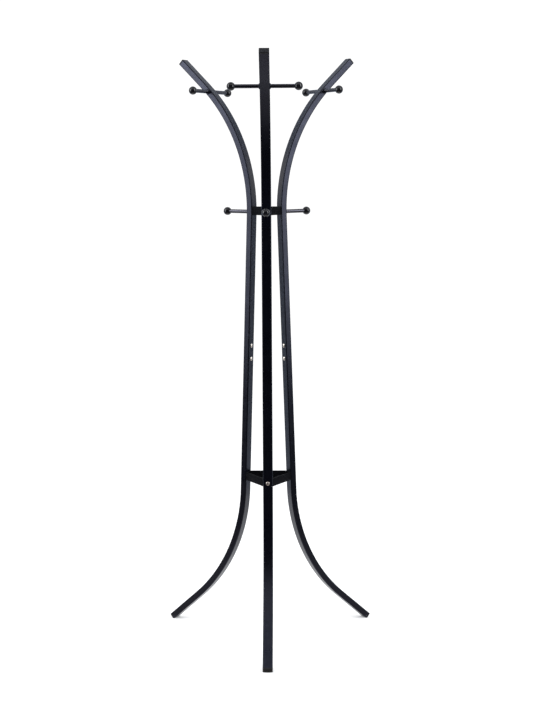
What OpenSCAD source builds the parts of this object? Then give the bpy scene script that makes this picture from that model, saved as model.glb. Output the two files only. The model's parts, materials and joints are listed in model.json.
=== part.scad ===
// Three-legged steel coat stand that comes apart into bolted halves.
// Origin: on the floor, on the stand's own vertical axis. +Z is up, and the front leg points to -Y.
// Each leg lies in a plane through the axis. In that plane a point is [r, z]:
// r is the distance out from the axis and z is the height above the floor.

/* [Stand] */
// Overall height
stand_h = 1800; // [1700:10:1900]
// Distance from the stand's axis to a leg's centreline where the three legs are closest
waist_r = 53.2; // [48:0.1:65]
// Lean of each leg's long straight part, from vertical
lean = 2.04; // [1.5:0.02:2.5]

/* [Leg tube] */
// Width of the tube, across the leg's plane
tube_w = 30; // [28:1:32]
// Depth of the tube, in the leg's plane
tube_d = 20; // [18:1:22]
// Radius of the tube's outer corners
tube_corner = 3; // [2:0.5:4]
// Wall thickness of the tube
tube_wall = 1.5; // [1.2:0.1:2]

/* [Top bend] */
// Radius of the upper bend's centreline
top_bend_r = 517.5; // [480:0.5:560]
// Lean of the leg's top end, outward from vertical
top_angle = 47; // [42:0.5:50]
// Straight length above the upper bend, with its cap
top_straight = 112; // [90:1:130]

/* [Foot bend] */
// Radius of the lower bend's centreline
foot_bend_r = 511.5; // [480:0.5:530]
// Lean of the leg's foot, outward from vertical
foot_angle = 49; // [46:0.5:52]
// Straight length below the lower bend, with its cap
foot_straight = 139; // [120:1:150]

/* [Leg joint] */
// Height of the joint line between the leg's two halves
joint_z = 897; // [850:1:950]
// Length of the sleeve inside the joint
sleeve_len = 120; // [90:5:160]
// Wall thickness of the sleeve
sleeve_wall = 2.5; // [2:0.1:3]
// Distance between the two screws of one joint
joint_screw_pitch = 41; // [30:1:60]

/* [Hubs] */
// Distance from the stand's top down to the middle of the mid hub
mid_hub_drop = 465; // [440:1:500]
// Height of the middle of the lower hub, and of its screws
lower_hub_z = 505; // [495:1:560]
// Height of both hubs' strips
strip_h = 25; // [22:1:30]
// Thickness of both hubs' strips
strip_t = 3; // [2:0.5:4]

/* [Hooks and crossbars] */
// Diameter of the round bar that hooks and crossbars are made of
bar_d = 12; // [10:0.5:13]
// Distance from the middle of the mid hub down to the hooks, which bolt through it
hook_below_hub = 3; // [0:0.5:5]
// Distance from the stand's axis to the middle of a hook's ball
hook_reach = 141; // [120:1:170]
// Distance from the stand's top down to the crossbars
crossbar_drop = 101; // [85:1:140]
// Distance from the middle of a leg to the middle of a crossbar's ball
crossbar_reach = 98; // [70:1:120]
// Diameter of the balls
ball_d = 25; // [22:0.5:30]
// Diameter of the studs that the balls screw on to
stud_d = 8; // [6:1:8]

/* [Screws] */
// Thread diameter of the screws
screw_d = 6; // [5:1:6]
// Diameter of a screw's head
screw_head_d = 12; // [10:0.5:13]
// Height of a screw's head
screw_head_h = 3.6; // [3:0.2:4]
// Width of the hexagon socket across its flats
socket_af = 4; // [3:0.5:5]

/* [End caps] */
// Thickness of a cap's head, along the leg
cap_head_t = 5; // [4:0.5:6]
// Chamfer around a cap's head
cap_chamfer = 1.4; // [0.5:0.1:2]
// Length of a cap's plug inside the tube
cap_plug_len = 20; // [12:1:30]
// Wall thickness of a cap's hollow plug
cap_plug_wall = 2; // [1.5:0.1:3]
// Depth of the flat land on a foot cap, above the cap's sharp corner
land_depth = 2.5; // [2:0.1:3]

/* [Hidden] */
LEG_NAMES = ["front", "right", "left"];
LEG_AZIMUTHS = [-90, 30, 150];
LEG_PARTS = [
    "upper_leg",
    "lower_leg",
    "joint_sleeve",
    "top_cap",
    "foot_cap",
    "hook",
    "hook_ball",
    "crossbar",
    "crossbar_ball_1",
    "crossbar_ball_2",
];
SHARED_PARTS = ["mid_hub", "lower_hub", "joint_screws", "lower_hub_screws"];

$fn = 64;
// Segments in a full turn of a leg's bend
bend_fn = 240;
// How far a cutting shape runs past the face it cuts
past = 1;
// Bending swells the tube's wall by this much on each side, and the long straight part runs this
// far into each bend
bend_swell = 0.02;
seam = 0.05;

// Clearances, on each side
slip_gap = 0.2;
bar_gap = 0.1;
thread_gap = 0.05;

// Colours
black_coat = "#1e2026";
black_matt = "#121214";
black_gloss = "#0c0c10";
black_plastic = "#26272b";
zinc = "#c8bdb0";

// The leg's centreline, from the foot up
foot_end_z = tube_d / 2 * sin(foot_angle) - land_depth;
foot_centre_z = foot_end_z + foot_straight * cos(foot_angle) + foot_bend_r * sin(foot_angle);
top_corner_rise = tube_d / 2 * sin(top_angle) - cap_chamfer * cos(top_angle);
top_centre_z = stand_h - top_corner_rise - top_straight * cos(top_angle) - top_bend_r * sin(top_angle);
top_centre = [waist_r + top_bend_r, top_centre_z];
straight_top = top_centre - top_bend_r * [cos(lean), sin(lean)];
bend_top_z = top_centre_z + top_bend_r * sin(top_angle);
straight_bottom_z = foot_centre_z - foot_bend_r * sin(lean);
straight_bottom = [straight_top[0] + (straight_top[1] - straight_bottom_z) * tan(lean), straight_bottom_z];
foot_centre = straight_bottom + foot_bend_r * [cos(lean), sin(lean)];
top_end = top_centre + top_bend_r * [-cos(top_angle), sin(top_angle)]
    + top_straight * [sin(top_angle), cos(top_angle)];
foot_end = foot_centre - foot_bend_r * [cos(foot_angle), sin(foot_angle)]
    + foot_straight * [sin(foot_angle), -cos(foot_angle)];

// Heights of the fittings on the leg's upper half
mid_hub_z = stand_h - mid_hub_drop;
hook_z = mid_hub_z - hook_below_hub;
crossbar_z = stand_h - crossbar_drop;

// Inside of the tube
bore_w = tube_w - 2 * tube_wall;
bore_d = tube_d - 2 * tube_wall;
bore_corner = tube_corner - tube_wall;

// Sleeve
sleeve_w = bore_w - 2 * slip_gap;
sleeve_d = bore_d - 2 * slip_gap;
sleeve_corner = bore_corner - slip_gap;

// Screws and nuts
joint_screw_len = 10;
screw_rim_h = 0.8;
rim_step = 0.1;
screw_tip = 0.6;
socket_depth = 2.2;
nut_af_ratio = 1.6;
nut_h_ratio = 0.8;
stud_overrun = 2;

// Weld fillet where a crossbar leaves the leg
weld_leg = 2.5;

// Ball: the depth of its threaded hole, and how far its centre is from the bar's shoulder
ball_hole_depth = 14;
ball_flat = sqrt(pow(ball_d / 2, 2) - pow(bar_d / 2, 2));
ball_stud_len = 11;

// Hub corners: how far the blank runs into the legs before it is trimmed to their faces
hub_overlap = 1.5;
trim_w = tube_w + 20;

// A point on the long straight part, at height z
function on_straight(z) = [straight_bottom[0] - (z - straight_bottom[1]) * tan(lean), z];

// A point on the leg's upper half, at height z, and the leg's outward lean there: on the long
// straight part, on the bend, or on the straight end above it
function on_upper(z) = z < straight_top[1] ? on_straight(z)
    : z > bend_top_z ? [top_end[0] - (top_end[1] - z) * tan(top_angle), z]
    : [top_centre[0] - sqrt(pow(top_bend_r, 2) - pow(z - top_centre[1], 2)), z];
function upper_lean(z) = z < straight_top[1] ? -lean
    : z > bend_top_z ? top_angle
    : asin((z - top_centre[1]) / top_bend_r);

// Turns the plane of a leg, drawn as X = r and Y = z, to stand at the leg's azimuth
module in_leg_plane(azimuth) {
    rotate([0, 0, azimuth]) rotate([90, 0, 0]) children();
}

// Stands children at a centreline point: +Z along the leg, +X out through its outer face
module along_leg(point, tilt) {
    translate([point[0], point[1], 0]) rotate([0, 0, -tilt]) rotate([-90, 0, 0]) children();
}

// Turns children at a centreline point so that their +Z points out through the leg's outer face
module out_of_leg(point, tilt) {
    along_leg(point, tilt) rotate([0, 90, 0]) children();
}

// Turns children at a centreline point so that their +Z points in through the leg's inner face
module into_stand(point, tilt) {
    along_leg(point, tilt) rotate([0, -90, 0]) children();
}

module rounded_rectangle(x, y, corner) {
    square([x - 2 * corner, y], center = true);
    square([x, y - 2 * corner], center = true);
    for (side_x = [-1, 1], side_y = [-1, 1]) {
        translate([side_x * (x / 2 - corner), side_y * (y / 2 - corner)]) circle(r = corner);
    }
}

module tube_section(swell = 0) {
    difference() {
        rounded_rectangle(tube_d + 2 * swell, tube_w + 2 * swell, tube_corner + swell);
        rounded_rectangle(bore_d - 2 * swell, bore_w - 2 * swell, bore_corner - swell);
    }
}

// Everything from the tube's inner face outward, for trimming the hubs
module trim_section(swell = 0) {
    translate([tube_d / 2 - swell, 0]) square([2 * tube_d, trim_w], center = true);
}

// The upper bend and the straight end above it, swept from a section. Both are drawn around the
// bend's centre, so that they meet exactly
module at_top_bend() {
    translate([top_centre[0], top_centre[1], 0]) rotate([0, 0, 180 - top_angle]) children();
}

module top_bend() {
    at_top_bend() rotate_extrude(angle = top_angle + lean, $fn = bend_fn)
        translate([top_bend_r, 0]) children();
}

module top_run(length) {
    at_top_bend() translate([top_bend_r, 0, 0]) rotate([90, 0, 0]) linear_extrude(length) children();
}

// The lower bend and the straight end below it
module at_foot_bend() {
    translate([foot_centre[0], foot_centre[1], 0]) rotate([0, 0, 180 + foot_angle]) children();
}

module foot_bend() {
    sweep = foot_angle - lean;
    at_foot_bend() rotate_extrude(angle = sweep, start = -sweep, $fn = bend_fn)
        translate([foot_bend_r, 0]) children();
}

module foot_run(length) {
    at_foot_bend() translate([foot_bend_r, 0, 0]) rotate([-90, 0, 0]) linear_extrude(length) children();
}

// Sweeps a section along the straight part between two heights
module straight_run(from_z, to_z) {
    along_leg(on_straight(from_z), -lean) linear_extrude((to_z - from_z) / cos(lean)) children();
}

// ---- Legs ----

module upper_leg(azimuth) {
    screw_at = on_straight(joint_z + joint_screw_pitch / 2);
    hook_at = on_upper(hook_z);
    crossbar_at = on_upper(crossbar_z);
    color(black_coat) in_leg_plane(azimuth) difference() {
        union() {
            straight_run(joint_z, straight_top[1] + seam) tube_section();
            top_bend() tube_section(bend_swell);
            top_run(top_straight - cap_head_t) tube_section(bend_swell);
        }
        into_stand(screw_at, -lean) cylinder(h = tube_d / 2 + past, d = screw_d + 2 * slip_gap);
        out_of_leg(hook_at, upper_lean(hook_z))
            cylinder(h = tube_d + 2 * past, d = stud_d + 2 * slip_gap, center = true);
        translate([crossbar_at[0], crossbar_at[1], 0])
            cylinder(h = tube_w + 2 * past, d = bar_d + 2 * bar_gap, center = true);
    }
}

module lower_leg(azimuth) {
    joint_screw_at = on_straight(joint_z - joint_screw_pitch / 2);
    hub_screw_at = on_straight(lower_hub_z);
    color(black_coat) in_leg_plane(azimuth) difference() {
        union() {
            straight_run(straight_bottom[1] - seam, joint_z) tube_section();
            foot_bend() tube_section(bend_swell);
            foot_run(foot_straight - cap_head_t) tube_section(bend_swell);
        }
        into_stand(joint_screw_at, -lean) cylinder(h = tube_d / 2 + past, d = screw_d + 2 * slip_gap);
        out_of_leg(hub_screw_at, -lean)
            cylinder(h = tube_d + 2 * past, d = screw_d + 2 * slip_gap, center = true);
    }
}

module joint_sleeve(azimuth) {
    half_len = sleeve_len / 2 * cos(lean);
    color(black_coat) in_leg_plane(azimuth) difference() {
        straight_run(joint_z - half_len, joint_z + half_len) difference() {
            rounded_rectangle(sleeve_d, sleeve_w, sleeve_corner);
            square([sleeve_d - 2 * sleeve_wall, sleeve_w - 2 * sleeve_wall], center = true);
        }
        for (side = [-1, 1]) {
            into_stand(on_straight(joint_z + side * joint_screw_pitch / 2), -lean)
                cylinder(h = sleeve_d / 2 + past, d = screw_d + 2 * thread_gap);
        }
    }
}

// ---- End caps ----

// Outline of a cap's head seen from one side: a rectangle with its two far corners cut off
module chamfered_side(width, head_t) {
    half = width / 2;
    polygon([
        [-half, 0],
        [half, 0],
        [half, head_t - cap_chamfer],
        [half - cap_chamfer, head_t],
        [cap_chamfer - half, head_t],
        [-half, head_t - cap_chamfer],
    ]);
}

// Cap with its head from z = 0 up and its plug below
module end_cap() {
    intersection() {
        linear_extrude(cap_head_t) rounded_rectangle(tube_d, tube_w, tube_corner);
        rotate([90, 0, 0]) linear_extrude(tube_w, center = true) chamfered_side(tube_d, cap_head_t);
        rotate([90, 0, 90]) linear_extrude(tube_d, center = true) chamfered_side(tube_w, cap_head_t);
    }
    translate([0, 0, -cap_plug_len]) linear_extrude(cap_plug_len + cap_head_t / 2) difference() {
        rounded_rectangle(bore_d - slip_gap, bore_w - slip_gap, bore_corner);
        square([bore_d - slip_gap - 2 * cap_plug_wall, bore_w - slip_gap - 2 * cap_plug_wall], center = true);
    }
}

module top_cap(azimuth) {
    head_at = top_end - cap_head_t * [sin(top_angle), cos(top_angle)];
    color(black_plastic) in_leg_plane(azimuth) along_leg(head_at, top_angle) end_cap();
}

// The foot cap's lowest corner is cut flat where it meets the floor
module foot_cap(azimuth) {
    head_at = foot_end - cap_head_t * [sin(foot_angle), -cos(foot_angle)];
    color(black_plastic) difference() {
        in_leg_plane(azimuth) along_leg(head_at, 180 - foot_angle) end_cap();
        rotate([0, 0, azimuth]) translate([foot_end[0], 0, -tube_w]) cube(2 * tube_w, center = true);
    }
}

// ---- Hooks and crossbars ----

// Bar with its shoulder at z = length and the ball's stud beyond it
module bar_end(length) {
    cylinder(h = length, d = bar_d);
    translate([0, 0, length]) cylinder(h = ball_stud_len, d = stud_d);
}

// Ball centred on the origin, with its flat and threaded hole towards -Z
module ball() {
    difference() {
        sphere(d = ball_d, $fn = 96);
        translate([0, 0, -ball_flat - bar_d / 2]) cube(bar_d, center = true);
        translate([0, 0, -ball_flat - past])
            cylinder(h = ball_hole_depth + past, d = stud_d + 2 * thread_gap);
    }
}

module hook(azimuth) {
    at = on_upper(hook_z);
    tilt = upper_lean(hook_z);
    bar_len = (hook_reach - at[0]) / cos(tilt) - ball_flat - tube_d / 2;
    stud_len = tube_d + strip_t + nut_h_ratio * stud_d + stud_overrun;
    color(black_coat) in_leg_plane(azimuth) out_of_leg(at, tilt) {
        translate([0, 0, tube_d / 2]) bar_end(bar_len);
        translate([0, 0, tube_d / 2 - stud_len]) cylinder(h = stud_len + past, d = stud_d);
    }
}

module hook_ball(azimuth) {
    at = on_upper(hook_z);
    tilt = upper_lean(hook_z);
    color(black_gloss) in_leg_plane(azimuth) out_of_leg(at, tilt)
        translate([0, 0, (hook_reach - at[0]) / cos(tilt)]) ball();
}

module crossbar(azimuth) {
    at = on_upper(crossbar_z);
    bar_len = crossbar_reach - ball_flat;
    color(black_coat) in_leg_plane(azimuth) translate([at[0], at[1], 0]) for (side = [0, 1]) {
        mirror([0, 0, side]) {
            bar_end(bar_len);
            translate([0, 0, tube_w / 2])
                cylinder(h = weld_leg, d1 = bar_d + 2 * weld_leg, d2 = bar_d);
        }
    }
}

module crossbar_ball(azimuth, side) {
    at = on_upper(crossbar_z);
    color(black_gloss) in_leg_plane(azimuth) translate([at[0], at[1], 0])
        mirror([0, 0, side]) translate([0, 0, crossbar_reach]) ball();
}

// ---- Hubs ----

// Corners of a triangle cut off at the legs: two points beside each leg, at distance r
function hub_outline(r, half_w) = [
    for (azimuth = LEG_AZIMUTHS)
    for (side = [-1, 1])
    [r * cos(azimuth) - side * half_w * sin(azimuth), r * sin(azimuth) + side * half_w * cos(azimuth)]
];

// Bent strip around the axis, with its corners trimmed to the legs' inner faces by children,
// and a welded nut of thread size thread_d behind each corner
module hub(corner_r, middle_z, thread_d, at, tilt) {
    half_w = tube_w / 2;
    nut_d = nut_af_ratio * thread_d / cos(30);
    nut_h = nut_h_ratio * thread_d;
    color(black_matt) difference() {
        union() {
            translate([0, 0, middle_z - strip_h / 2]) linear_extrude(strip_h) difference() {
                polygon(hub_outline(corner_r + hub_overlap, half_w));
                polygon(hub_outline(corner_r - strip_t, half_w - strip_t * tan(30)));
            }
            for (azimuth = LEG_AZIMUTHS) {
                in_leg_plane(azimuth) into_stand(at, tilt)
                    translate([0, 0, tube_d / 2 + strip_t / 2]) rotate([0, 0, 30])
                        cylinder(h = nut_h + strip_t / 2, d = nut_d, $fn = 6);
            }
        }
        for (azimuth = LEG_AZIMUTHS) {
            in_leg_plane(azimuth) children();
            in_leg_plane(azimuth) into_stand(at, tilt)
                cylinder(h = 2 * tube_d, d = thread_d + 2 * thread_gap);
        }
    }
}

module mid_hub() {
    at = on_upper(hook_z);
    hub(at[0] - tube_d / 2, mid_hub_z, stud_d, at, upper_lean(hook_z)) {
        union() {
            top_bend() mirror([1, 0]) trim_section(bend_swell);
            straight_run(joint_z, straight_top[1]) trim_section();
        }
    }
}

module lower_hub() {
    at = on_straight(lower_hub_z);
    hub(at[0] - tube_d / 2, lower_hub_z, screw_d, at, -lean) {
        union() {
            straight_run(straight_bottom[1], joint_z) trim_section();
            foot_bend() mirror([1, 0]) trim_section(bend_swell);
        }
    }
}

// ---- Screws ----

// Button-head screw with a hexagon socket: its head stands up from z = 0 and its shank hangs below
module button_screw(length) {
    rim_r = screw_head_d / 2;
    dome_h = screw_head_h - screw_rim_h;
    dome_r = (pow(rim_r, 2) + pow(dome_h, 2)) / (2 * dome_h);
    difference() {
        union() {
            cylinder(h = screw_rim_h, r = rim_r);
            intersection() {
                translate([0, 0, screw_head_h - dome_r]) sphere(r = dome_r);
                cylinder(h = screw_head_h + past, r = rim_r - rim_step);
            }
            translate([0, 0, -length + screw_tip]) cylinder(h = length, d = screw_d);
            translate([0, 0, -length]) cylinder(h = screw_tip, d1 = screw_d - 2 * screw_tip, d2 = screw_d);
        }
        translate([0, 0, screw_head_h - socket_depth])
            cylinder(h = socket_depth + past, d = socket_af / cos(30), $fn = 6);
    }
}

// Two screws in each leg's inner face, one above and one below the joint line
module joint_screws() {
    color(zinc) for (azimuth = LEG_AZIMUTHS, side = [-1, 1]) {
        in_leg_plane(azimuth) into_stand(on_straight(joint_z + side * joint_screw_pitch / 2), -lean)
            translate([0, 0, tube_d / 2]) button_screw(joint_screw_len);
    }
}

// One long screw through each leg into the lower hub's nut
module lower_hub_screws() {
    length = tube_d + strip_t + nut_h_ratio * screw_d + stud_overrun;
    color(zinc) for (azimuth = LEG_AZIMUTHS) {
        in_leg_plane(azimuth) out_of_leg(on_straight(lower_hub_z), -lean)
            translate([0, 0, tube_d / 2]) button_screw(length);
    }
}

for (i = [0 : len(LEG_NAMES) - 1]) {
    leg = LEG_NAMES[i];
    azimuth = LEG_AZIMUTHS[i];
    upper_leg(azimuth);
    lower_leg(azimuth);
    joint_sleeve(azimuth);
    top_cap(azimuth);
    foot_cap(azimuth);
    hook(azimuth);
    hook_ball(azimuth);
    crossbar(azimuth);
    crossbar_ball(azimuth, 0);
    crossbar_ball(azimuth, 1);
}
mid_hub();
lower_hub();
joint_screws();
lower_hub_screws();
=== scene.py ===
"""Looks of the coat stand: finishes, weld beads, rounded small parts, studio and camera.

Everything is in metres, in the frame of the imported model: +Z up, the front leg towards -Y.
"""

import json
import math

import bmesh
import bpy
from mathutils import Matrix, Vector


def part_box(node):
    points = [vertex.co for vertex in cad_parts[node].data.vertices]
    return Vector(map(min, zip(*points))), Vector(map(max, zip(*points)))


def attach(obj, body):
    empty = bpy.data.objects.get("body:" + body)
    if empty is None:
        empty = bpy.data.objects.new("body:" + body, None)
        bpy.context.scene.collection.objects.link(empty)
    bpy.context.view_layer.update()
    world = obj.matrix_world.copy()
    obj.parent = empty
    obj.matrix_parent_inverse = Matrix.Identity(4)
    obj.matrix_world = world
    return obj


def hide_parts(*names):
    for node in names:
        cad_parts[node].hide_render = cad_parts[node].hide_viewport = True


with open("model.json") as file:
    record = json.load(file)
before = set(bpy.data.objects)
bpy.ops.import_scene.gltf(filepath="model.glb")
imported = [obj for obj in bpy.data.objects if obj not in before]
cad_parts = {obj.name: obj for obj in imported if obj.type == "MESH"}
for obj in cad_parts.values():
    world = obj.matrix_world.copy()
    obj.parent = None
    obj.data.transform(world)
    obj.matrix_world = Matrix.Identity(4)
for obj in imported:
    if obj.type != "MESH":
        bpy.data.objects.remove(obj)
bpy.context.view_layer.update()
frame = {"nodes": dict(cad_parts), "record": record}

MM = 0.001
LEG_AZIMUTHS = {"front": -90, "right": 30, "left": 150}
BAR_RADIUS = 6 * MM
TUBE_WIDTH = 30 * MM


def place_mesh(name, mesh):
    """A new object in the scene that shows a mesh."""
    piece = bpy.data.objects.new(name, mesh)
    bpy.context.scene.collection.objects.link(piece)
    return piece


# ---- Shader helpers ----

class Nodes:
    """A material's node tree with short ways to add and link nodes."""

    def __init__(self, name):
        self.material = bpy.data.materials.new(name)
        self.material.use_nodes = True
        self.tree = self.material.node_tree
        self.tree.nodes.clear()
        self.shader = self.add("ShaderNodeBsdfPrincipled")
        output = self.add("ShaderNodeOutputMaterial")
        self.link(self.shader.outputs["BSDF"], output.inputs["Surface"])
        self.place = self.add("ShaderNodeTexCoord").outputs["Object"]

    def add(self, kind, **settings):
        node = self.tree.nodes.new(kind)
        for key, value in settings.items():
            setattr(node, key, value)
        return node

    def link(self, source, target):
        self.tree.links.new(source, target)

    def feed(self, name, source):
        """A value that varies over the surface, linked to one of the shader's sockets."""
        self.link(source, self.shader.inputs[name])

    def set(self, **values):
        """Uniform values, straight on the shader's own sockets."""
        for key, value in values.items():
            self.shader.inputs[key.replace("_", " ")].default_value = value

    def noise(self, scale, detail=2.0, roughness=0.5, place=None):
        node = self.add("ShaderNodeTexNoise")
        node.inputs["Scale"].default_value = scale
        node.inputs["Detail"].default_value = detail
        node.inputs["Roughness"].default_value = roughness
        self.link(place or self.place, node.inputs["Vector"])
        return node.outputs["Fac"]

    def stretched(self, scale):
        """Object coordinates, scaled by a factor along each axis."""
        node = self.add("ShaderNodeMapping")
        node.inputs["Scale"].default_value = scale
        self.link(self.place, node.inputs["Vector"])
        return node.outputs["Vector"]

    def remap(self, value, low, high, to_low=0.0, to_high=1.0):
        node = self.add("ShaderNodeMapRange")
        node.inputs["From Min"].default_value = low
        node.inputs["From Max"].default_value = high
        node.inputs["To Min"].default_value = to_low
        node.inputs["To Max"].default_value = to_high
        self.link(value, node.inputs["Value"])
        return node.outputs["Result"]

    def math(self, operation, a, b):
        node = self.add("ShaderNodeMath", operation=operation)
        for socket, value in zip(node.inputs, (a, b)):
            if isinstance(value, (int, float)):
                socket.default_value = value
            else:
                self.link(value, socket)
        return node.outputs["Value"]

    def mix(self, fac, a, b):
        """From a to b, which are colours or sockets, as fac goes from 0 to 1."""
        node = self.add("ShaderNodeMix", data_type="RGBA")
        self.link(fac, node.inputs["Factor"])
        colour_sockets = [socket for socket in node.inputs if socket.type == "RGBA"]
        for socket, value in zip(colour_sockets, (a, b)):
            if isinstance(value, tuple):
                socket.default_value = (*value, 1.0)
            else:
                self.link(value, socket)
        return next(socket for socket in node.outputs if socket.type == "RGBA")

    def edges(self, radius, low, high):
        """1 along hard edges, 0 on flat faces."""
        bevel = self.add("ShaderNodeBevel", samples=4)
        bevel.inputs["Radius"].default_value = radius
        normal = self.add("ShaderNodeNewGeometry").outputs["Normal"]
        dot = self.add("ShaderNodeVectorMath", operation="DOT_PRODUCT")
        self.link(bevel.outputs["Normal"], dot.inputs[0])
        self.link(normal, dot.inputs[1])
        return self.remap(dot.outputs["Value"], high, low)

    def upward(self, low, high):
        """1 on faces that look up, where dust settles."""
        split = self.add("ShaderNodeSeparateXYZ")
        self.link(self.add("ShaderNodeNewGeometry").outputs["Normal"], split.inputs[0])
        return self.remap(split.outputs["Z"], low, high)

    def bump(self, height, strength, distance, below=None):
        node = self.add("ShaderNodeBump")
        node.inputs["Strength"].default_value = strength
        node.inputs["Distance"].default_value = distance
        self.link(height, node.inputs["Height"])
        if below:
            self.link(below, node.inputs["Normal"])
        return node.outputs["Normal"]


def scaled(colour, factor):
    return tuple(factor * c for c in colour)


# ---- Finishes ----

DUST_COLOUR = (0.16, 0.16, 0.165)
RUBBED_COAT_COLOUR = (0.075, 0.078, 0.085)
WORN_PLASTIC_COLOUR = (0.03, 0.03, 0.032)
SPECK_STRENGTH = 0.012
DUST_STRENGTH = 0.05
COOL_TINT = (0.72, 0.75, 1.0)
BAR_TINT = (0.86, 0.84, 1.0)


def coated_metal(name, colour, roughness, peel, ior, tint=COOL_TINT):
    """Black powder coat: orange peel, a fine grain, faint cloudiness, dust and rubbed edges."""
    n = Nodes(name)
    n.set(IOR=ior, Specular_Tint=(*tint, 1.0))

    cloud = n.remap(n.noise(scale=9.0, detail=3.0), low=0.35, high=0.65)
    base = n.mix(cloud, scaled(colour, 0.82), scaled(colour, 1.18))

    patchy = n.noise(scale=60.0, detail=4.0, roughness=0.6)
    patches = n.remap(patchy, low=0.4, high=0.75, to_high=DUST_STRENGTH)
    dust = n.math("MULTIPLY", n.upward(low=0.55, high=0.95), patches)
    specks = n.remap(n.noise(scale=2600.0, detail=1.0), low=0.66, high=0.78)
    dusty = n.math("MAXIMUM", dust, n.math("MULTIPLY", specks, SPECK_STRENGTH))
    base = n.mix(dusty, base, DUST_COLOUR)

    handling = n.remap(n.noise(scale=35.0, detail=4.0, roughness=0.65), low=0.45, high=0.7, to_high=0.35)
    rubbed = n.math("MULTIPLY", n.edges(1.2 * MM, low=0.90, high=0.99), handling)
    n.feed("Base Color", n.mix(rubbed, base, RUBBED_COAT_COLOUR))

    smudge = n.remap(n.noise(scale=22.0, detail=4.0, roughness=0.6), low=0.3, high=0.7,
                     to_low=roughness - 0.04, to_high=roughness + 0.05)
    n.feed("Roughness", n.math("ADD", smudge, n.math("MULTIPLY", dusty, 0.3)))

    grain = n.bump(n.noise(scale=2800.0, detail=1.0), strength=0.30, distance=0.04 * MM)
    n.feed("Normal", n.bump(n.noise(scale=520.0), strength=peel, distance=0.12 * MM, below=grain))
    return n.material


def polished_black(name, colour, roughness):
    """The balls' glossy black, with faint handling haze and hairline scratches."""
    n = Nodes(name)
    n.set(IOR=1.46)
    haze = n.remap(n.noise(scale=120.0, detail=4.0, roughness=0.6), low=0.4, high=0.75)
    n.feed("Base Color", n.mix(haze, colour, scaled(colour, 1.8)))
    hairlines = n.noise(scale=900.0, place=n.stretched((0.15, 1.0, 1.0)))
    scratches = n.remap(hairlines, low=0.62, high=0.7, to_high=0.07)
    scratched = n.math("ADD", scratches, roughness)
    n.feed("Roughness", n.math("ADD", n.math("MULTIPLY", haze, 0.06), scratched))
    n.feed("Normal", n.bump(n.noise(scale=220.0), strength=0.05, distance=0.1 * MM))
    return n.material


def moulded_plastic(name, colour):
    """The end caps' black plastic, with a spark-eroded grain and worn edges."""
    n = Nodes(name)
    n.set(IOR=1.36)
    mottle = n.remap(n.noise(scale=140.0, detail=3.0), low=0.35, high=0.7)
    base = n.mix(mottle, colour, scaled(colour, 1.35))
    handling = n.remap(n.noise(scale=90.0, detail=3.0), low=0.4, high=0.7, to_high=0.5)
    wear = n.math("MULTIPLY", n.edges(1.0 * MM, low=0.88, high=0.99), handling)
    n.feed("Base Color", n.mix(wear, base, WORN_PLASTIC_COLOUR))
    n.feed("Roughness", n.remap(mottle, low=0.0, high=1.0, to_low=0.46, to_high=0.58))
    grain = n.noise(scale=3000.0, roughness=0.7)
    n.feed("Normal", n.bump(grain, strength=0.25, distance=0.05 * MM))
    return n.material


def zinc_plate(name, colour):
    """Bare or zinc-plated steel, with a cloudy, dull film and a fine grain."""
    n = Nodes(name)
    n.set(Metallic=1.0)
    film = n.remap(n.noise(scale=700.0, detail=3.0, roughness=0.6), low=0.35, high=0.7)
    n.feed("Base Color", n.mix(film, colour, scaled(colour, 0.72)))
    n.feed("Roughness", n.remap(film, low=0.0, high=1.0, to_low=0.24, to_high=0.42))
    n.feed("Normal", n.bump(n.noise(scale=5200.0), strength=0.15, distance=0.03 * MM))
    return n.material


def plain_stage(name, colour, roughness, glow=0.0):
    """The floor, flags and mats: one dull colour with the faintest unevenness."""
    n = Nodes(name)
    n.set(Roughness=roughness, Emission_Color=(1.0, 1.0, 1.0, 1.0), Emission_Strength=glow)
    unevenness = n.remap(n.noise(scale=0.6), low=0.3, high=0.7)
    n.feed("Base Color", n.mix(unevenness, colour, scaled(colour, 0.985)))
    return n.material


FINISHES = {
    "powder_coat": coated_metal("powder_coat_satin", (0.0006, 0.0008, 0.0022),
                                roughness=0.28, peel=0.40, ior=1.40),
    "bar_coat": coated_metal("bar_coat_semi_gloss", (0.0010, 0.0012, 0.0024),
                             roughness=0.20, peel=0.12, ior=1.58, tint=BAR_TINT),
    "hub_matt": coated_metal("hub_matt_black", (0.0018, 0.0018, 0.0020),
                             roughness=0.62, peel=0.45, ior=1.14),
    "ball_gloss": polished_black("ball_polished_black", (0.0030, 0.0030, 0.0040), roughness=0.07),
    "cap_plastic": moulded_plastic("cap_moulded_black", (0.0030, 0.0032, 0.0042)),
    "screw_zinc": zinc_plate("screw_zinc_plate", (0.80, 0.74, 0.67)),
    "sleeve_steel": zinc_plate("sleeve_bare_steel", (0.40, 0.40, 0.41)),
}
DULL_ZINC = zinc_plate("hub_screw_dull_zinc", (0.36, 0.32, 0.29))
SLOTS = {part["node"]: part["material_slot"] for part in frame["record"]["subparts"]}

for node_name, node_object in frame["nodes"].items():
    finish = DULL_ZINC if node_name == "lower_hub_screws" else FINISHES[SLOTS[node_name]]
    node_object.data.materials.clear()
    node_object.data.materials.append(finish)


# ---- Rounded copies of the small parts ----

TOP_CAP_ROUNDING = 1.0 * MM
FOOT_CAP_ROUNDING = 0.8 * MM
HUB_ROUNDING = 0.5 * MM
ROUNDING_SEGMENTS = 3
HARD_EDGE_ANGLE = math.radians(35.0)
FLAT_EDGE_ANGLE = math.radians(1.0)
SAME_POINT_DISTANCE = 0.01 * MM


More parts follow.
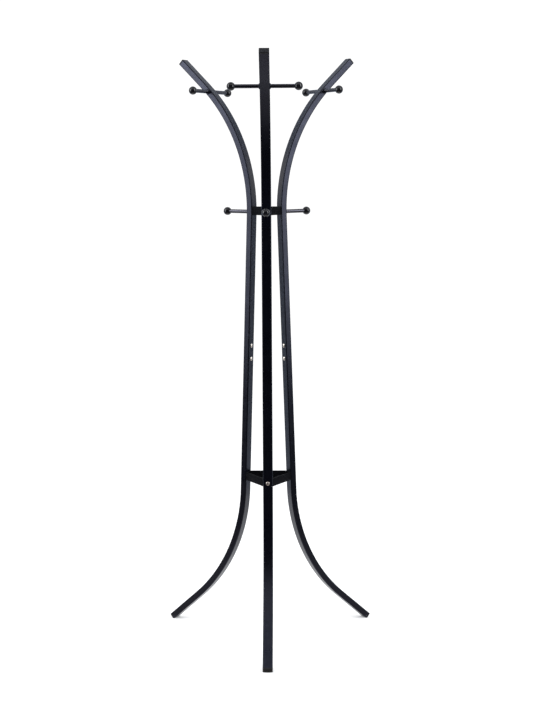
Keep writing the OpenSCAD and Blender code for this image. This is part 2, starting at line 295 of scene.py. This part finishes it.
def rounded_copy(node, radius):
    """A copy of a CAD node with its hard edges rolled over, which stands for that node."""
    mesh = frame["nodes"][node].data.copy()
    mesh.name = f"{node}_rounded"
    piece = place_mesh(mesh.name, mesh)
    bm = bmesh.new()
    bm.from_mesh(mesh)
    bmesh.ops.remove_doubles(bm, verts=bm.verts, dist=SAME_POINT_DISTANCE)
    bmesh.ops.dissolve_limit(bm, angle_limit=FLAT_EDGE_ANGLE, verts=bm.verts, edges=bm.edges)
    hard = [e for e in bm.edges if len(e.link_faces) == 2 and e.calc_face_angle(0) > HARD_EDGE_ANGLE]
    bmesh.ops.bevel(bm, geom=hard, offset=radius, offset_type="OFFSET", segments=ROUNDING_SEGMENTS,
                    profile=0.5, affect="EDGES", clamp_overlap=True)
    for face in bm.faces:
        face.smooth = True
    bm.to_mesh(mesh)
    bm.free()
    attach(piece, "root")
    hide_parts(node)


# ---- Weld beads around the crossbars ----

BEAD_STEPS_AROUND = 72
BEAD_STEPS_ACROSS = 8
BEAD_RADIUS = 2.1 * MM
BEAD_FLATTENING = 0.9
# How far the middle of the bead's section lies off the bar, and off the tube's face
BEAD_OFF_BAR = 0.7 * MM
BEAD_OFF_TUBE = 0.5 * MM
# The part of a circle that the section follows, in degrees
BEAD_ROLL_START = -50
BEAD_ROLL_SPAN = 190
RIPPLES = 15
RIPPLE_HEIGHT = 0.16 * MM
WOBBLES = 3
WOBBLE_HEIGHT = 0.1 * MM


def weld_bead(name, centre, direction):
    """A ring of overlapping weld ripples where a crossbar leaves a leg's side face."""
    out = direction.normalized()
    up = Vector((0, 0, 1))
    side = out.cross(up)
    bm = bmesh.new()
    rings = []
    for i in range(BEAD_STEPS_AROUND):
        turn = 2 * math.pi * i / BEAD_STEPS_AROUND
        radial = math.cos(turn) * side + math.sin(turn) * up
        ripple = RIPPLE_HEIGHT * math.cos(RIPPLES * turn) ** 2 + WOBBLE_HEIGHT * math.sin(WOBBLES * turn)
        ring = []
        for j in range(BEAD_STEPS_ACROSS):
            roll = math.radians(BEAD_ROLL_START + BEAD_ROLL_SPAN * j / (BEAD_STEPS_ACROSS - 1))
            grow = BEAD_RADIUS + ripple
            away = BAR_RADIUS + BEAD_OFF_BAR + grow * math.cos(roll)
            rise = BEAD_OFF_TUBE + grow * BEAD_FLATTENING * math.sin(roll)
            ring.append(bm.verts.new(centre + radial * away + out * rise))
        rings.append(ring)
    for i, ring in enumerate(rings):
        following = rings[(i + 1) % BEAD_STEPS_AROUND]
        for j in range(BEAD_STEPS_ACROSS):
            k = (j + 1) % BEAD_STEPS_ACROSS
            bm.faces.new((ring[j], following[j], following[k], ring[k]))
    bmesh.ops.recalc_face_normals(bm, faces=bm.faces)
    for face in bm.faces:
        face.smooth = True
    mesh = bpy.data.meshes.new(name)
    bm.to_mesh(mesh)
    bm.free()
    mesh.materials.append(FINISHES["powder_coat"])
    piece = place_mesh(name, mesh)
    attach(piece, "root")


for leg, azimuth in LEG_AZIMUTHS.items():
    low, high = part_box(f"{leg}_crossbar")
    middle = (low + high) / 2
    tangent = Matrix.Rotation(math.radians(azimuth), 3, "Z") @ Vector((0, 1, 0))
    for number, sense in ((1, 1), (2, -1)):
        face_centre = middle + sense * TUBE_WIDTH / 2 * tangent
        weld_bead(f"{leg}_crossbar_weld_{number}", face_centre, sense * tangent)
    rounded_copy(f"{leg}_top_cap", TOP_CAP_ROUNDING)
    rounded_copy(f"{leg}_foot_cap", FOOT_CAP_ROUNDING)
rounded_copy("mid_hub", HUB_ROUNDING)
rounded_copy("lower_hub", HUB_ROUNDING)


# ---- Floor ----

FLOOR_HALF = 40.0
FLOOR_GLOW = 0.06


def white_floor():
    mesh = bpy.data.meshes.new("studio_floor")
    corners = [(x * FLOOR_HALF, y * FLOOR_HALF, 0) for x, y in ((-1, -1), (1, -1), (1, 1), (-1, 1))]
    mesh.from_pydata(corners, [], [(0, 1, 2, 3)])
    mesh.materials.append(plain_stage("studio_floor_white", (0.95, 0.95, 0.95), 0.9, FLOOR_GLOW))
    place_mesh("studio_floor", mesh)


white_floor()


# ---- Flags and mats, which only the stand's reflections see ----

STUDIO_RADIUS = 5.5
STUDIO_TOP = 5.6
CEILING_HEIGHT = 5.5
MAT_HEIGHT = 2 * MM
SHEET_STEPS = 48
# Ranges of azimuth in degrees, from +X towards +Y
FRONT = (-178, -2)
FRONT_AND_SIDES = (-205, 25)
BEHIND = (-2, 182)
ALL_ROUND = (-180, 180)


def swept_sheet(name, edge_points, azimuths, material):
    """A sheet swept around the stand's axis between two points given as (radius, height).

    It darkens what the stand mirrors. It throws no shadow and no picture shows it.
    """
    start, end = azimuths
    points = []
    for i in range(SHEET_STEPS + 1):
        turn = math.radians(start + (end - start) * i / SHEET_STEPS)
        for radius, z in edge_points:
            points.append((radius * math.cos(turn), radius * math.sin(turn), z))
    faces = [(2 * i, 2 * i + 2, 2 * i + 3, 2 * i + 1) for i in range(SHEET_STEPS)]
    mesh = bpy.data.meshes.new(name)
    mesh.from_pydata(points, [], faces)
    mesh.materials.append(material)
    sheet = place_mesh(name, mesh)
    sheet.visible_camera = False
    sheet.visible_diffuse = False
    sheet.visible_shadow = False


def upright_flag(name, low, high, azimuths, material):
    swept_sheet(name, ((STUDIO_RADIUS, low), (STUDIO_RADIUS, high)), azimuths, material)


def ring_mat(name, inner, outer, azimuths, material, height=MAT_HEIGHT):
    swept_sheet(name, ((inner, height), (outer, height)), azimuths, material)


flag_black = plain_stage("studio_flag_black", (0.004, 0.004, 0.004), 1.0)
flag_grey = plain_stage("studio_flag_grey", (0.40, 0.45, 0.54), 1.0)
mat_grey = plain_stage("studio_mat_grey", (0.46, 0.43, 0.41), 1.0)
upright_flag("studio_flag", 0.0, STUDIO_TOP, FRONT, flag_black)
upright_flag("studio_flag_behind", 0.0, 1.5, BEHIND, flag_grey)
upright_flag("studio_flag_high_behind", 3.2, STUDIO_TOP, BEHIND, flag_grey)
ring_mat("studio_mat_front", 1.15, STUDIO_RADIUS, FRONT, flag_black)
ring_mat("studio_mat_near", 0.30, 1.15, FRONT_AND_SIDES, mat_grey)
ring_mat("studio_mat_behind", 1.55, STUDIO_RADIUS, BEHIND, flag_grey)
ring_mat("studio_ceiling", 0.05, 1.6, ALL_ROUND, flag_grey, CEILING_HEIGHT)


# ---- Lights ----

WORLD_STRENGTH = 1.08
COOL_WHITE = (0.93, 0.96, 1.0)
SOFTBOX_WIDTH = 1.1
LOW_SOFTBOX_HEIGHT = 1.1
LOW_SOFTBOX_Z = 1.1
HIGH_SOFTBOX_HEIGHT = 3.0
HIGH_SOFTBOX_Z = 3.15
HIGH_SOFTBOX_RADIANCE = 9.0

world = bpy.data.worlds.new("studio_world")
world.use_nodes = True
background = world.node_tree.nodes["Background"]
background.inputs["Color"].default_value = (1.0, 1.0, 1.0, 1.0)
background.inputs["Strength"].default_value = WORLD_STRENGTH
bpy.context.scene.world = world


def softbox(name, x, y, z, height, radiance):
    """An upright area light that faces the stand's axis at its own height."""
    data = bpy.data.lights.new(name, "AREA")
    data.shape = "RECTANGLE"
    data.size = SOFTBOX_WIDTH
    data.size_y = height
    data.energy = radiance * math.pi * SOFTBOX_WIDTH * height
    data.color = COOL_WHITE
    lamp = bpy.data.objects.new(name, data)
    lamp.location = (x, y, z)
    lamp.rotation_euler = Vector((-x, -y, 0)).to_track_quat("-Z", "Y").to_euler()
    bpy.context.scene.collection.objects.link(lamp)


for side, x, y, low_radiance in (("left", -3.29, -1.20, 6.0), ("right", 2.97, -1.85, 5.0)):
    softbox(f"softbox_{side}_low", x, y, LOW_SOFTBOX_Z, LOW_SOFTBOX_HEIGHT, low_radiance)
    softbox(f"softbox_{side}_high", x, y, HIGH_SOFTBOX_Z, HIGH_SOFTBOX_HEIGHT, HIGH_SOFTBOX_RADIANCE)


# ---- Camera, in metres and degrees ----

CAMERA_DISTANCE = 4.5193
CAMERA_HEIGHT = 1.4623
CAMERA_ASIDE = 0.0075
CAMERA_AZIMUTH = 0.785
CAMERA_PITCH = 7.399
CAMERA_ROLL = -0.3645
LENS_MM = 73.65
SENSOR_MM = 36.0
CLIP_END = 100.0

camera_data = bpy.data.cameras.new("camera")
camera_data.lens = LENS_MM
camera_data.sensor_width = SENSOR_MM
camera_data.clip_end = CLIP_END
camera = bpy.data.objects.new("camera", camera_data)
turn = Matrix.Rotation(math.radians(CAMERA_AZIMUTH), 4, "Z")
standpoint = Matrix.Translation((CAMERA_ASIDE, -CAMERA_DISTANCE, CAMERA_HEIGHT))
tilt = Matrix.Rotation(math.radians(90 - CAMERA_PITCH), 4, "X")
aim = tilt @ Matrix.Rotation(math.radians(CAMERA_ROLL), 4, "Z")
camera.matrix_world = turn @ standpoint @ aim
bpy.context.scene.collection.objects.link(camera)
bpy.context.scene.camera = camera
bpy.context.scene.view_settings.view_transform = "Standard"
